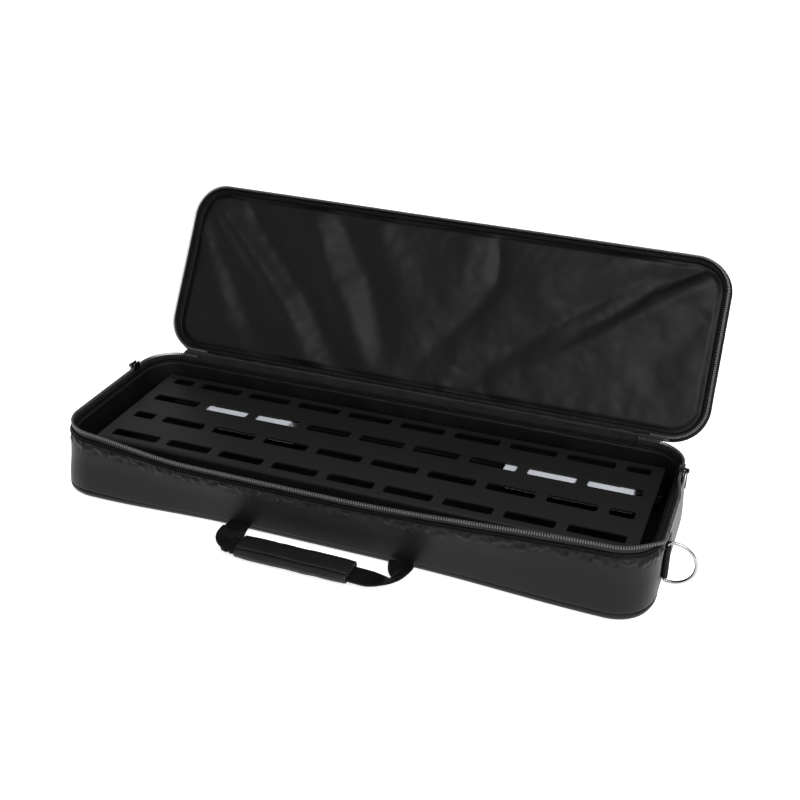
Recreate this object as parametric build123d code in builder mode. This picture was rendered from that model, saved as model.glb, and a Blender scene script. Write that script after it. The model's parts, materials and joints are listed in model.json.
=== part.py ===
from build123d import *

import os
from math import cos, radians, sin

# A slotted steel pedalboard in its soft carrying case, lid open.
# Millimetres. X runs along the case, -Y is the front, +Z is up.
# The origin is the centre of the case's underside.

os.makedirs("parts", exist_ok=True)

# ---------------------------------------------------------------- driving sizes
deck_length = 610
deck_depth = 166
deck_height = 60
deck_aside = 5  # how far right of the case's middle the loose board lies
end_gap = 18.8  # from the deck's ends to the case's lining
front_gap = 19.3
rear_gap = 11.3
pedal_room = 21.5  # from the deck up to the rim
corner_radius = 42
lid_height = 24
lid_lean = 36  # degrees back from upright

skin = 1.5
foam = 6
lining = 0.8
layer_gap = 0.2  # between two soft layers of one wall
edge_radius = 7  # rounded bottom edge of the case
pan_height = 9
stiffener = 3
floor_foam = 4

zipper_height = 11  # from the seam up to the rim
binding_height = 2.5
piping_bulge = 1.0
piping_height = 3
tape = 0.9
tape_inset = 3  # outside face to the middle of the zipper
teeth_width = 2.4
teeth_height = 3
rim_gap = 0.5  # from a chain of teeth to the rim plane
hinge_gap = 0.6  # hinge line behind the back face
hinge_end_gap = 14  # from the zipper's end to the corner's arc
hinge_strip_gap = 0.8  # from the zipper's end to the hinge fabric
hinge_cord = 1.2  # radius of the cord sewn into the fold
hinge_cord_gap = 0.1

slider_length = 11
slider_plate = 1.4
slider_clearance = 0.4
slider_reach = 4.5  # plate height either side of the rim
slider_post = 0.4
slider_rest_gap = 8  # from the slider to the rear corner's arc
crown_wire = 0.8  # radius
crown_stand = 3
eye_width = 3
pull_eye = 1.2  # bore radius of the pull's eye
pull_wall = 1.1
pull_length = 20
pull_grip = 12.8  # length of the wide part
pull_width = 6
pull_thickness = 1.2

ring_wire = 1.75  # radius
ring_height = 46  # along the straight bar, middle to middle
ring_reach = 29
ring_corner = 3
ring_place = (-48, 35)  # y, z of the bar's middle
ring_rest = {"left": -80, "right": 0}  # degrees the ring has swung round its bar
tab_wall = 1.2
tab_clearance = 0.35
tab_width = 40
tab_length = 30

handle_ends = (-105, 80)  # x of the two anchors
strap_width = 27
strap_thickness = 2.4
strap_gap = 0.3  # grip above the surface the case stands on
strap_bend = 19
strap_turn = 2.0  # from an anchor to the fold in the webbing
anchor_reach = 1.0
handle_reach = 39  # from the front wall to the middle of the grip
grip_shift = -9.5
grip_length = 126
grip_width = 38
grip_height = 16.4
grip_flat = 1.2  # flattening of the grip's round edges
grip_wrap = 1.4

deck_sheet = 2
flange_drop = 40
flange_lip = 16
slot_length = 53
slot_width = 13.5
slot_corner = 3
slot_pitch = 65
row_pitch = 44
end_margin = 13  # from a row's end slot to the deck's end
row_margin = 8  # least sheet left in front of the first row
foot_radius = 7
foot_inset = 42  # foot's middle in from the deck's end
foot_screw = 2  # thread radius
foot_gap = 0.3  # above the case's floor lining
foot_recess = 2.6
screw_head = 3.6
screw_head_height = 2
screw_clearance = 0.15
screw_end = 1  # thread past its nut

tray_lengths = (116, 140)  # left and right
tray_sheet = 1.5
tray_end_gaps = (74, 23)  # from the deck's left and right ends
tray_flange = 19
tray_forward = 3.5  # flange's middle in front of its row of slots
tray_round = 6
tray_drop = 29
tray_shelf = 34
tray_ear = 15
stud_radius = 2
stud_length = 7
nut_radius = 3.9
nut_height = 3.2

# ---------------------------------------------------------------- derived sizes
foam_inset = skin + layer_gap
lining_inset = foam_inset + foam + layer_gap
inside_inset = lining_inset + lining
case_length = deck_length + 2 * (end_gap + inside_inset)
case_depth = deck_depth + front_gap + rear_gap + 2 * inside_inset
rim_height = deck_height + pedal_room
seam_height = rim_height - zipper_height
half_length = case_length / 2
half_depth = case_depth / 2
deck_shift = (front_gap - rear_gap) / 2  # towards the back of the case
stiffener_bottom = skin + layer_gap
foam_bottom = stiffener_bottom + stiffener + layer_gap
lining_bottom = foam_bottom + floor_foam + layer_gap
floor_top = lining_bottom + lining
hinge_half = half_length - corner_radius - hinge_end_gap


def outline(inset, mode=Mode.ADD):
    """The case's rounded plan, a given distance inside its outer face."""
    RectangleRounded(
        case_length - 2 * inset,
        case_depth - 2 * inset,
        corner_radius - inset,
        mode=mode,
    )


def band(plane, outer, inner, height, hinge_side=0):
    """A rounded wall between two insets, left out along the hinge if a side is given."""
    with BuildPart() as wall:
        with BuildSketch(plane):
            outline(outer)
            outline(inner, mode=Mode.SUBTRACT)
            if hinge_side:
                with Locations((0, hinge_side * half_depth)):
                    Rectangle(2 * hinge_half, case_depth, mode=Mode.SUBTRACT)
        extrude(amount=height)
    return wall.part


def slab(plane, inset, height):
    """A rounded plate at one inset, standing on a plane."""
    with BuildPart() as plate:
        with BuildSketch(plane):
            outline(inset)
        extrude(amount=height)
    return plate.part


def save(part, name):
    """Label a finished piece and write it to its own file."""
    part.label = name
    export_step(part, f"parts/{name}.step")


def flat(height):
    """A level plane at a height."""
    return Plane.XY.offset(height)


# ---------------------------------------------------------------- case, walls and floor
with BuildPart() as base_bottom_skin:
    with BuildSketch():
        outline(0)
    extrude(amount=pan_height)
    fillet(base_bottom_skin.edges().group_by(Axis.Z)[0], edge_radius)
    with BuildSketch(flat(edge_radius)):
        outline(skin)
    extrude(amount=pan_height, mode=Mode.SUBTRACT)
    with BuildSketch(flat(skin)):
        outline(edge_radius)
    extrude(amount=pan_height, mode=Mode.SUBTRACT)
save(base_bottom_skin.part, "base_bottom_skin")

save(slab(flat(stiffener_bottom), edge_radius + layer_gap, stiffener), "base_stiffener")
save(slab(flat(foam_bottom), edge_radius + layer_gap, floor_foam), "base_floor_foam")
save(slab(flat(lining_bottom), inside_inset + layer_gap, lining), "base_floor_lining")

wall_height = seam_height - pan_height
wall_plane = flat(pan_height)
save(band(wall_plane, 0, skin, wall_height), "base_wall_skin")
save(band(wall_plane, foam_inset, foam_inset + foam, wall_height), "base_wall_foam")
save(band(wall_plane, lining_inset, inside_inset, wall_height), "base_wall_lining")

piping_plane = flat(seam_height - piping_height)
save(band(piping_plane, -piping_bulge, 0, piping_height), "base_seam_piping")
save(band(flat(seam_height), 0, inside_inset, binding_height), "base_rim_binding")

# ---------------------------------------------------------------- case, zipper half
tape_bottom = seam_height + binding_height
teeth_bottom = rim_height - rim_gap - teeth_height
tape_faces = (tape_inset - tape / 2, tape_inset + tape / 2)
chain_faces = (tape_inset - teeth_width / 2, tape_inset + teeth_width / 2)
tape_plane = flat(tape_bottom)
save(band(tape_plane, *tape_faces, teeth_bottom - tape_bottom, 1), "base_zipper_tape")
save(band(flat(teeth_bottom), *chain_faces, teeth_height, 1), "base_zipper_teeth")

# The hinge is a strip of webbing folded over a cord, which lies on the hinge line.
hinge_y = half_depth + hinge_gap
hinge_strip = 2 * (hinge_half - hinge_strip_gap)
hinge_fold = hinge_cord + hinge_cord_gap  # from the hinge line to each strip's edge
with BuildPart() as hinge_panel_lower:
    with BuildSketch(tape_plane):
        with Locations((0, half_depth - tape / 2)):
            Rectangle(hinge_strip, tape)
    extrude(amount=rim_height - hinge_fold - tape_bottom)
save(hinge_panel_lower.part, "hinge_panel_lower")

with BuildPart() as hinge_cord_core:
    with BuildSketch(Plane.YZ.offset(-hinge_strip / 2)):
        with Locations((hinge_y, rim_height)):
            Circle(hinge_cord)
    extrude(amount=hinge_strip)
save(hinge_cord_core.part, "hinge_cord")

# ---------------------------------------------------------------- lid
# The lid is drawn in its own plane: its middle at the plan's middle, +Y away
# from the hinge, and +Z towards the inside of the lid.
lean = radians(lid_lean)
lid_along = Vector(0, sin(lean), cos(lean))
lid_inward = Vector(0, -cos(lean), sin(lean))
lid_middle = Vector(0, hinge_y, rim_height) + lid_along * (half_depth + hinge_gap)


def lid_plane(depth):
    """The lid's plane, a depth behind its rim."""
    return Plane(origin=lid_middle - lid_inward * depth, x_dir=(1, 0, 0), z_dir=lid_inward)


lid_foam_depth = lid_height - skin - layer_gap
lid_lining_depth = lid_foam_depth - foam - layer_gap
lid_wall = lid_height - zipper_height
save(slab(lid_plane(lid_height), 0, skin), "lid_panel_skin")
save(slab(lid_plane(lid_foam_depth), foam_inset, foam), "lid_panel_foam")
save(slab(lid_plane(lid_lining_depth), inside_inset + layer_gap, lining), "lid_panel_lining")
save(band(lid_plane(lid_height - skin), 0, skin, lid_wall - skin), "lid_wall_skin")
lid_side = lid_lining_depth - zipper_height
save(band(lid_plane(lid_lining_depth), foam_inset, foam_inset + foam, lid_side), "lid_wall_foam")
save(band(lid_plane(lid_lining_depth), lining_inset, inside_inset, lid_side), "lid_wall_lining")
save(
    band(lid_plane(zipper_height + piping_height), -piping_bulge, 0, piping_height),
    "lid_seam_piping",
)
save(band(lid_plane(zipper_height), 0, inside_inset, binding_height), "lid_rim_binding")

lid_tape_depth = zipper_height - binding_height
lid_teeth_depth = rim_gap + teeth_height
lid_tape = lid_tape_depth - lid_teeth_depth
save(band(lid_plane(lid_tape_depth), *tape_faces, lid_tape, -1), "lid_zipper_tape")
save(band(lid_plane(lid_teeth_depth), *chain_faces, teeth_height, -1), "lid_zipper_teeth")

with BuildPart() as hinge_panel_upper:
    with BuildSketch(lid_plane(lid_tape_depth)):
        with Locations((0, tape / 2 - half_depth)):
            Rectangle(hinge_strip, tape)
    extrude(amount=lid_tape_depth - hinge_fold)
save(hinge_panel_upper.part, "hinge_panel_upper")

# ---------------------------------------------------------------- zipper sliders and pulls
plate_gap = teeth_width + 2 * slider_clearance
slider_middle = half_length - tape_inset
slider_y = half_depth - corner_radius - slider_rest_gap - slider_length / 2
crown_x = slider_middle + plate_gap / 2 + slider_plate + crown_stand
crown_z = rim_height

for side, name in ((-1, "left"), (1, "right")):
    with BuildPart() as zipper_slider:
        with BuildSketch(flat(rim_height - slider_reach)):
            with Locations((side * slider_middle, slider_y)):
                Rectangle(plate_gap + 2 * slider_plate, slider_length)
                Rectangle(plate_gap, slider_length, mode=Mode.SUBTRACT)
        extrude(amount=2 * slider_reach)
        with BuildSketch(flat(rim_height - slider_post / 2)):
            with Locations((side * slider_middle, slider_y)):
                Rectangle(plate_gap, slider_length / 2)
        extrude(amount=slider_post)
        # two ears and a bar that the pull hangs from
        ear_middle = crown_x - crown_stand / 2
        with Locations(
            (side * ear_middle, slider_y - eye_width, crown_z),
            (side * ear_middle, slider_y + eye_width, crown_z),
        ):
            Box(crown_stand + 2 * crown_wire, 2 * crown_wire, 2 * crown_wire)
        with Locations(Location((side * crown_x, slider_y, crown_z), (90, 0, 0))):
            Cylinder(crown_wire, 2 * eye_width)
    save(zipper_slider.part, f"zipper_slider_{name}")

    with BuildPart() as zipper_pull:
        with BuildSketch(Plane.XZ.offset(-slider_y - eye_width / 2)):
            with Locations((side * crown_x, crown_z)):
                Circle(pull_eye + pull_wall)
            with Locations((side * crown_x, crown_z - pull_length / 2)):
                Rectangle(pull_thickness, pull_length)
            with Locations((side * crown_x, crown_z)):
                Circle(pull_eye, mode=Mode.SUBTRACT)
        extrude(amount=eye_width)
        with Locations((side * crown_x, slider_y, crown_z - pull_length + pull_grip / 2)):
            Box(pull_thickness, pull_width, pull_grip)
    save(zipper_pull.part, f"zipper_pull_{name}")

# ---------------------------------------------------------------- carrying rings
ring_y, ring_z = ring_place
tab_inner = ring_wire + tab_clearance
tab_outer = tab_inner + tab_wall
ring_half = ring_height / 2
ring_bow = ring_reach - ring_half

for side, name in ((-1, "left"), (1, "right")):
    bar_x = side * (half_length + tab_outer)
    with BuildPart() as d_ring_tab:
        # webbing wrapped round the bar, its tail stitched flat to the wall
        with BuildSketch(flat(ring_z - tab_width / 2)):
            with Locations((bar_x, ring_y)):
                Circle(tab_outer)
            with Locations((side * (half_length + tab_wall / 2), ring_y + tab_length / 2)):
                Rectangle(tab_wall, tab_length)
            with Locations((bar_x, ring_y)):
                Circle(tab_inner, mode=Mode.SUBTRACT)
        extrude(amount=tab_width)
    save(d_ring_tab.part, f"d_ring_tab_{name}")

    outward = (side, 0, 0)
    bar_half = ring_half - ring_corner
    corner_x = bar_x + side * ring_corner
    with BuildPart() as d_ring:
        with BuildSketch(Plane((bar_x, ring_y, ring_z - bar_half))):
            Circle(ring_wire)
        extrude(amount=2 * bar_half)
        for end in (1, -1):
            # a bent corner, then the straight leg out from it
            corner_z = ring_z + end * bar_half
            with BuildSketch(Plane((bar_x, ring_y, corner_z))):
                Circle(ring_wire)
            revolve(axis=Axis((corner_x, ring_y, corner_z), (0, end * side, 0)), revolution_arc=90)
            with BuildSketch(Plane((corner_x, ring_y, ring_z + end * ring_half), z_dir=outward)):
                Circle(ring_wire)
            extrude(amount=ring_bow - ring_corner)
        bow_x = bar_x + side * ring_bow
        with BuildSketch(Plane((bow_x, ring_y, ring_z + ring_half), z_dir=outward)):
            Circle(ring_wire)
        revolve(axis=Axis((bow_x, ring_y, ring_z), (0, side, 0)), revolution_arc=180)
    bar = Axis((bar_x, ring_y, ring_z), (0, 0, 1))
    save(d_ring.part.rotate(bar, ring_rest[name]), f"d_ring_{name}")

# ---------------------------------------------------------------- carrying handle
front_y = -half_depth
strap_middle = grip_height / 2 + strap_gap
strap_plane = flat(strap_middle - strap_thickness / 2)
pivot_y = front_y - anchor_reach - strap_turn
grip_y = front_y - handle_reach
grip_middle = sum(handle_ends) / 2 + grip_shift

with BuildPart() as handle_anchors:
    # ends of the webbing, caught in the bottom seam
    with BuildSketch(strap_plane):
        with Locations([(x, front_y - anchor_reach / 2) for x in handle_ends]):
            Rectangle(strap_width, anchor_reach)
    extrude(amount=strap_thickness)
save(handle_anchors.part, "handle_anchors")

with BuildPart() as handle_strap:
    with BuildSketch(strap_plane):
        with BuildLine():
            FilletPolyline(
                (handle_ends[0], pivot_y + strap_thickness / 2),
                (handle_ends[0], grip_y),
                (handle_ends[1], grip_y),
                (handle_ends[1], pivot_y + strap_thickness / 2),
                radius=strap_bend,
            )
        trace(line_width=strap_width)
    extrude(amount=strap_thickness)
save(handle_strap.part, "handle_strap")

grip_end = (grip_middle - grip_length / 2, grip_y, strap_middle)
grip_plane = Plane(grip_end, x_dir=(0, 1, 0), z_dir=(1, 0, 0))

grip_round = grip_height / 2 - grip_flat


def sleeve(inset):
    """The flattened section of the grip, a distance inside its outer face."""
    RectangleRounded(grip_width - 2 * inset, grip_height - 2 * inset, grip_round - inset)


with BuildPart() as grip_pad:
    with BuildSketch(grip_plane):
        sleeve(grip_wrap + layer_gap)
        Rectangle(
            strap_width + 2 * layer_gap, strap_thickness + 2 * layer_gap, mode=Mode.SUBTRACT
        )
    extrude(amount=grip_length)
save(grip_pad.part, "grip_pad")

with BuildPart() as grip_core:
    with BuildSketch(grip_plane):
        sleeve(grip_wrap)
    extrude(amount=grip_length)
with BuildPart() as grip_cover:
    with BuildSketch(grip_plane):
        sleeve(0)
    extrude(amount=grip_length)
    add(grip_core.part, mode=Mode.SUBTRACT)
save(grip_cover.part, "grip_cover")

# ---------------------------------------------------------------- pedal deck
deck_under = deck_height - deck_sheet
lip_top = deck_height - flange_drop + deck_sheet
lip_inner = deck_depth / 2 - flange_lip
through = 3 * deck_sheet  # a cut from a sheet below clear through
foot_y = deck_depth / 2 - foot_radius - deck_sheet / 2
foot_spots = [
    (deck_aside + x * (deck_length / 2 - foot_inset), deck_shift + y * foot_y)
    for x in (-1, 1)
    for y in (-1, 1)
]
row_end = deck_length / 2 - end_margin
rows = 1 + int((deck_depth - slot_width - 2 * row_margin) / row_pitch)
columns = int((2 * row_end + slot_pitch - slot_length) / slot_pitch)


def row_y(row):
    """The middle of one row of slots, counted from the front."""
    return deck_shift + (row - (rows - 1) / 2) * row_pitch


def row_slots(row):
    """Middles of a row's whole slots, and the inner end of its two end slots.

    Rows alternate like brickwork: the end slots are stretched in one row and cut short in the next.
    """
    whole = columns - 2 + row % 2
    middles = [(k - (whole - 1) / 2) * slot_pitch for k in range(whole)]
    return middles, (whole + 1) / 2 * slot_pitch - slot_length / 2


with BuildPart() as deck:
    with BuildSketch(Plane.YZ.offset(deck_aside - deck_length / 2)):
        with Locations((deck_shift, deck_height - flange_drop / 2)):
            RectangleRounded(deck_depth, flange_drop, 2 * deck_sheet)
            RectangleRounded(
                deck_depth - 2 * deck_sheet, flange_drop - 2 * deck_sheet, deck_sheet, mode=Mode.SUBTRACT
            )
        with Locations((deck_shift, deck_height - flange_drop)):
            Rectangle(2 * lip_inner, through, mode=Mode.SUBTRACT)
    extrude(amount=deck_length)
    with BuildSketch(flat(deck_under - deck_sheet)):
        for row in range(rows):
            middles, end_slot = row_slots(row)
            with Locations([(deck_aside + x, row_y(row)) for x in middles]):
                RectangleRounded(slot_length, slot_width, slot_corner)
            ends = [deck_aside + x * (end_slot + row_end) / 2 for x in (-1, 1)]
            with Locations([(x, row_y(row)) for x in ends]):
                RectangleRounded(row_end - end_slot, slot_width, slot_corner)
    extrude(amount=through, mode=Mode.SUBTRACT)
    with BuildSketch(flat(deck_height - flange_drop - deck_sheet)):
        with Locations(foot_spots):
            Circle(foot_screw + screw_clearance)
    extrude(amount=through, mode=Mode.SUBTRACT)
save(deck.part, "deck")

foot_bottom = floor_top + foot_gap
foot_top = deck_height - flange_drop
with BuildPart() as feet:
    with BuildSketch(flat(foot_bottom)):
        with Locations(foot_spots):
            Circle(foot_radius)
            Circle(foot_screw + screw_clearance, mode=Mode.SUBTRACT)
    extrude(amount=foot_top - foot_bottom)
    with BuildSketch(flat(foot_bottom)):
        with Locations(foot_spots):
            Circle(screw_head + screw_clearance)
    extrude(amount=foot_recess, mode=Mode.SUBTRACT)
save(feet.part, "rubber_feet")

with BuildPart() as foot_screws:
    with BuildSketch(flat(foot_bottom + foot_recess - screw_head_height)):
        with Locations(foot_spots):
            Circle(screw_head)
    extrude(amount=screw_head_height)
    with BuildSketch(flat(foot_bottom + foot_recess)):
        with Locations(foot_spots):
            Circle(foot_screw)
    extrude(amount=lip_top + nut_height + screw_end - foot_bottom - foot_recess)
save(foot_screws.part, "foot_screws")


def nuts(spots, bottom):
    """Hexagon nuts with clear bores, seated at one height."""
    with BuildPart() as group:
        with BuildSketch(flat(bottom)):
            with Locations(spots):
                RegularPolygon(nut_radius, 6)
                Circle(stud_radius + screw_clearance, mode=Mode.SUBTRACT)
        extrude(amount=nut_height)
    return group.part


save(nuts(foot_spots, lip_top), "foot_nuts")

# ---------------------------------------------------------------- supply trays under the deck
tray_row = rows - 2
flange_y = row_y(tray_row) - tray_forward
web_y = flange_y + tray_flange / 2
tray_top = deck_under
shelf_bottom = tray_top - tray_drop
studs = []

for side, gap, tray_length, name in zip((-1, 1), tray_end_gaps, tray_lengths, ("left", "right")):
    place = deck_aside + side * (deck_length / 2 - gap - tray_length / 2)
    # the studs stand on the solid webs between slots that this tray spans
    middles, _ = row_slots(tray_row)
    webs = [deck_aside + x + slot_pitch / 2 for x in [middles[0] - slot_pitch] + middles]
    tray_studs = [(x, flange_y) for x in webs if abs(x - place) < tray_length / 2 - tray_ear]
    studs += tray_studs
    with BuildPart() as tray:
        with BuildSketch(flat(tray_top - tray_sheet)):
            # front flange and the two ears that meet the deck's underside
            with Locations((place, flange_y)):
                RectangleRounded(tray_length, tray_flange, tray_round)
            ears = [place + x * (tray_length - tray_ear) / 2 for x in (-1, 1)]
            with Locations([(x, web_y + tray_shelf / 2 - tray_sheet) for x in ears]):
                Rectangle(tray_ear, tray_shelf)
            with Locations(tray_studs):
                Circle(stud_radius + screw_clearance, mode=Mode.SUBTRACT)
        extrude(amount=tray_sheet)
        with BuildSketch(flat(shelf_bottom)):
            # web, shelf edges and side plates stand up from the shelf
            with Locations((place, web_y + tray_shelf / 2 - tray_sheet)):
                Rectangle(tray_length, tray_shelf)
                Rectangle(tray_length - 2 * tray_sheet, tray_shelf - 2 * tray_sheet, mode=Mode.SUBTRACT)
            with Locations((place, web_y + tray_shelf - 1.5 * tray_sheet)):
                Rectangle(tray_length - 2 * tray_ear, tray_sheet, mode=Mode.SUBTRACT)
        extrude(amount=tray_drop)
        with BuildSketch(flat(shelf_bottom)):
            with Locations((place, web_y + tray_shelf / 2 - tray_sheet)):
                Rectangle(tray_length, tray_shelf)
        extrude(amount=tray_sheet)
    save(tray.part, f"supply_tray_{name}")

with BuildPart() as stud_group:
    with BuildSketch(flat(deck_under - stud_length)):
        with Locations(studs):
            Circle(stud_radius)
    extrude(amount=stud_length)
save(stud_group.part, "tray_studs")
save(nuts(studs, tray_top - tray_sheet - nut_height), "tray_nuts")
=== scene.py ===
import json
import math

import bmesh
import bpy
from mathutils import Matrix, Vector, noise


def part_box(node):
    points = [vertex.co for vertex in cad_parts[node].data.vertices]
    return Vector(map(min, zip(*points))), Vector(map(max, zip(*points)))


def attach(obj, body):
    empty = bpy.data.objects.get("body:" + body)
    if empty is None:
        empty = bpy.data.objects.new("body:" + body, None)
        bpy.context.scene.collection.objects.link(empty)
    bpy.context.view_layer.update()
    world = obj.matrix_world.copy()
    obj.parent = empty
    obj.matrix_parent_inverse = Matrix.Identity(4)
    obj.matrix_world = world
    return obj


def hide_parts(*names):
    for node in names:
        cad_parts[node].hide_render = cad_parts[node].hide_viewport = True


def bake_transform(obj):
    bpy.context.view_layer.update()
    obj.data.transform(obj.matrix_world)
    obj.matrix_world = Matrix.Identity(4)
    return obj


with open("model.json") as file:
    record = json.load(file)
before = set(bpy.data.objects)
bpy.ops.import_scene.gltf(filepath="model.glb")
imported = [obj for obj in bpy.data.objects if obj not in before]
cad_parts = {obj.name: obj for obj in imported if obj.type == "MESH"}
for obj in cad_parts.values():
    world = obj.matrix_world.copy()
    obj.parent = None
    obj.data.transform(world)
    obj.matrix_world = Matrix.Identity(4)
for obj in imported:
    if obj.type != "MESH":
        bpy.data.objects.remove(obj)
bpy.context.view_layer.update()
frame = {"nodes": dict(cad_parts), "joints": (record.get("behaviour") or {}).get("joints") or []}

# Looks of a slotted steel pedalboard lying in its soft zip case, lid open.
# Metres, in the CAD frame: X along the case, -Y the front, Z up.

# ---------------------------------------------------------------- sizes from the frame
wall_low, wall_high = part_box("base_wall_skin")
half_x, half_y = wall_high.x, wall_high.y
pan_top, seam = wall_low.z, wall_high.z
foam_in = half_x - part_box("base_wall_foam")[1].x
lining_in = half_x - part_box("base_wall_lining")[1].x
inside_in = half_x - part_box("base_floor_lining")[1].x
floor_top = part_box("base_floor_lining")[1].z
binding_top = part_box("base_rim_binding")[1].z
tooth_reach = 0.0012  # half a tooth, across the tape
zip_in = half_x - (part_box("base_zipper_teeth")[1].x - tooth_reach)
hinge_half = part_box("hinge_cord")[1].x
grip_low, grip_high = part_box("grip_cover")
strap_low, strap_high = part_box("handle_strap")

joints = {joint["name"]: joint for joint in frame["joints"]}
hinge = Vector(joints["lid_hinge"]["pos_m"])
lid_lean = math.radians(joints["lid_hinge"]["range_deg"][1] - 90)
rim = hinge.z
corner = 0.042  # plan radius of the case
edge_round = 0.007  # rounded bottom edge
lid_height = 0.024
zipper_rise = rim - seam
wall_cloth = 0.0015  # coated cloth of the case and lid
foam, foam_gap = 0.006, 0.0002  # foam behind the lining, and the clearance on each face
strap_cloth = 0.0022  # handle webbing
binding_rise = 0.0025  # binding over the lid's seam
tuck = 0.0002  # how far the zipper tape goes into the binding
teeth_drop = 0.0035  # foot of the teeth below the rim
piping_radius = 0.0009
lid_piping_radius = 0.0008
piping_drop = 0.0012  # the piping's middle below its seam
arc_steps = 12  # edges in each rounded corner
cell = 0.006  # length of a cloth mesh's cell
trim_cell = 0.0035  # the same along bindings, piping and zipper tape


# ---------------------------------------------------------------- small helpers
def smooth_step(low, high, value):
    """0 below low, 1 above high, smooth between."""
    t = max(0.0, min(1.0, (value - low) / (high - low)))
    return t * t * (3 - 2 * t)


def rough(point, size, seed=0.0):
    """Smooth noise from -1 to 1 with features of a size."""
    return noise.noise(Vector((point[0] / size + seed, point[1] / size, point[2] / size)))


def outward(point):
    """The plan outline's outward direction at a point near it."""
    x = max(corner - half_x, min(half_x - corner, point.x))
    y = max(corner - half_y, min(half_y - corner, point.y))
    return Vector((point.x - x, point.y - y, 0)).normalized()


def outline_lengths():
    """Half lengths of the two straight sides and the length of one corner."""
    return half_x - corner, half_y - corner, corner * math.pi / 2


def outline_point(distance):
    """A place on the plan outline, and its outward direction, by the way walked from
    the middle of the front towards +X and round."""
    side_x, side_y, arc = outline_lengths()
    runs = [
        (side_x, Vector((0, -half_y, 0)), 0),
        (arc, None, 0),
        (2 * side_y, Vector((half_x, -side_y, 0)), 1),
        (arc, None, 1),
        (2 * side_x, Vector((side_x, half_y, 0)), 2),
        (arc, None, 2),
        (2 * side_y, Vector((-half_x, side_y, 0)), 3),
        (arc, None, 3),
        (side_x, Vector((-side_x, -half_y, 0)), 0),
    ]
    distance %= sum(run[0] for run in runs)
    for length, start, quarter in runs:
        if distance <= length:
            break
        distance -= length
    turn = Matrix.Rotation(quarter * math.pi / 2, 3, "Z")
    if start is not None:
        return start + turn @ Vector((distance, 0, 0)), turn @ Vector((0, -1, 0))
    centre = Vector((side_x if quarter in (0, 1) else -side_x, side_y if quarter in (1, 2) else -side_y, 0))
    angle = -math.pi / 2 + quarter * math.pi / 2 + distance / corner
    direction = Vector((math.cos(angle), math.sin(angle), 0))
    return centre + direction * corner, direction


def outline_length():
    side_x, side_y, arc = outline_lengths()
    return 4 * side_x + 4 * side_y + 4 * arc


def walked(point):
    """The way walked along the outline to reach a point near it."""
    side_x, side_y, arc = outline_lengths()
    n = outward(point)
    x, y = abs(point.x), abs(point.y)
    if x > side_x and y > side_y:
        bend = math.atan2(abs(n.x), abs(n.y)) * corner
        quarter = side_x + bend
    elif y > side_y:
        quarter = x
    else:
        quarter = side_x + arc + (side_y - y)
    half = 2 * side_x + 2 * side_y + 2 * arc
    if point.y > 0:
        quarter = half - quarter
    return quarter if point.x >= 0 else 2 * half - quarter


def outline_ring(bm, step=cell):
    """A closed ring of edges round the plan, its corners as arcs."""
    count = 4 * arc_steps
    made = bmesh.ops.create_circle(bm, segments=count, radius=corner)
    turn = Matrix.Rotation(math.pi / count, 3, "Z")
    bmesh.ops.rotate(bm, verts=made["verts"], matrix=turn, cent=(0, 0, 0))
    for v in bm.verts:
        v.co.x += math.copysign(half_x - corner, v.co.x)
        v.co.y += math.copysign(half_y - corner, v.co.y)
    for edge in list(bm.edges):
        cuts = int(edge.calc_length() / step)
        if cuts > 1:
            bmesh.ops.subdivide_edges(bm, edges=[edge], cuts=cuts)
    return bm.edges[:]


def sweep_ring(bm, ring, profile):
    """Extrude a ring of edges through (outset, height) steps."""
    for v in {v for edge in ring for v in edge.verts}:
        v.co += outward(v.co) * profile[0][0]
        v.co.z = profile[0][1]
    edges = ring
    for (out_a, z_a), (out_b, z_b) in zip(profile, profile[1:]):
        made = bmesh.ops.extrude_edge_only(bm, edges=edges)["geom"]
        verts = {g for g in made if isinstance(g, bmesh.types.BMVert)}
        edges = [
            g for g in made if isinstance(g, bmesh.types.BMEdge) and set(g.verts) <= verts
        ]
        for v in verts:
            v.co += outward(v.co) * (out_b - out_a)
            v.co.z += z_b - z_a
    return edges


def open_hinge_side(bm, reach, side=1):
    """Take out the run along the hinge, and close the two ends."""
    gone = [f for f in bm.faces if all(abs(v.co.x) < reach and v.co.y * side > 0 for v in f.verts)]
    bmesh.ops.delete(bm, geom=gone, context="FACES")
    ends = [e for e in bm.edges if e.is_boundary]
    bmesh.ops.holes_fill(bm, edges=ends, sides=0)


def uv_along(bm):
    """UV in metres: U along the outline, V up and round the section."""
    layer = bm.loops.layers.uv.verify()
    total = outline_length()
    for face in bm.faces:
        first = walked(face.verts[0].co)
        for loop in face.loops:
            u = walked(loop.vert.co)
            if u - first > total / 2:
                u -= total
            elif first - u > total / 2:
                u += total
            across = (loop.vert.co.xy - outline_point(u)[0].xy).length
            loop[layer].uv = (u, loop.vert.co.z + across)


def shaped(bm, move):
    """Move each vertex by a function of its place and the outline's direction."""
    moves = [(v, move(v.co, outward(v.co))) for v in bm.verts]
    for v, step in moves:
        v.co += step


def make(bm, name, material, body, slot, nodes=(), matrix=None, smooth=1):
    """Turn a bmesh into a finished piece that rides on a body."""
    bmesh.ops.remove_doubles(bm, verts=bm.verts[:], dist=1e-6)
    bmesh.ops.recalc_face_normals(bm, faces=bm.faces[:])
    if matrix is not None:
        bmesh.ops.transform(bm, matrix=matrix, verts=bm.verts[:])
    for face in bm.faces:
        face.smooth = True
    mesh = bpy.data.meshes.new(name)
    bm.to_mesh(mesh)
    bm.free()
    piece = bpy.data.objects.new(name, mesh)
    bpy.context.collection.objects.link(piece)
    mesh.materials.append(material)
    if smooth:
        add_modifier(piece, "SUBSURF", levels=smooth, render_levels=smooth)
    if body:
        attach(piece, body)
    if nodes:
        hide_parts(*nodes)
    return piece


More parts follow.
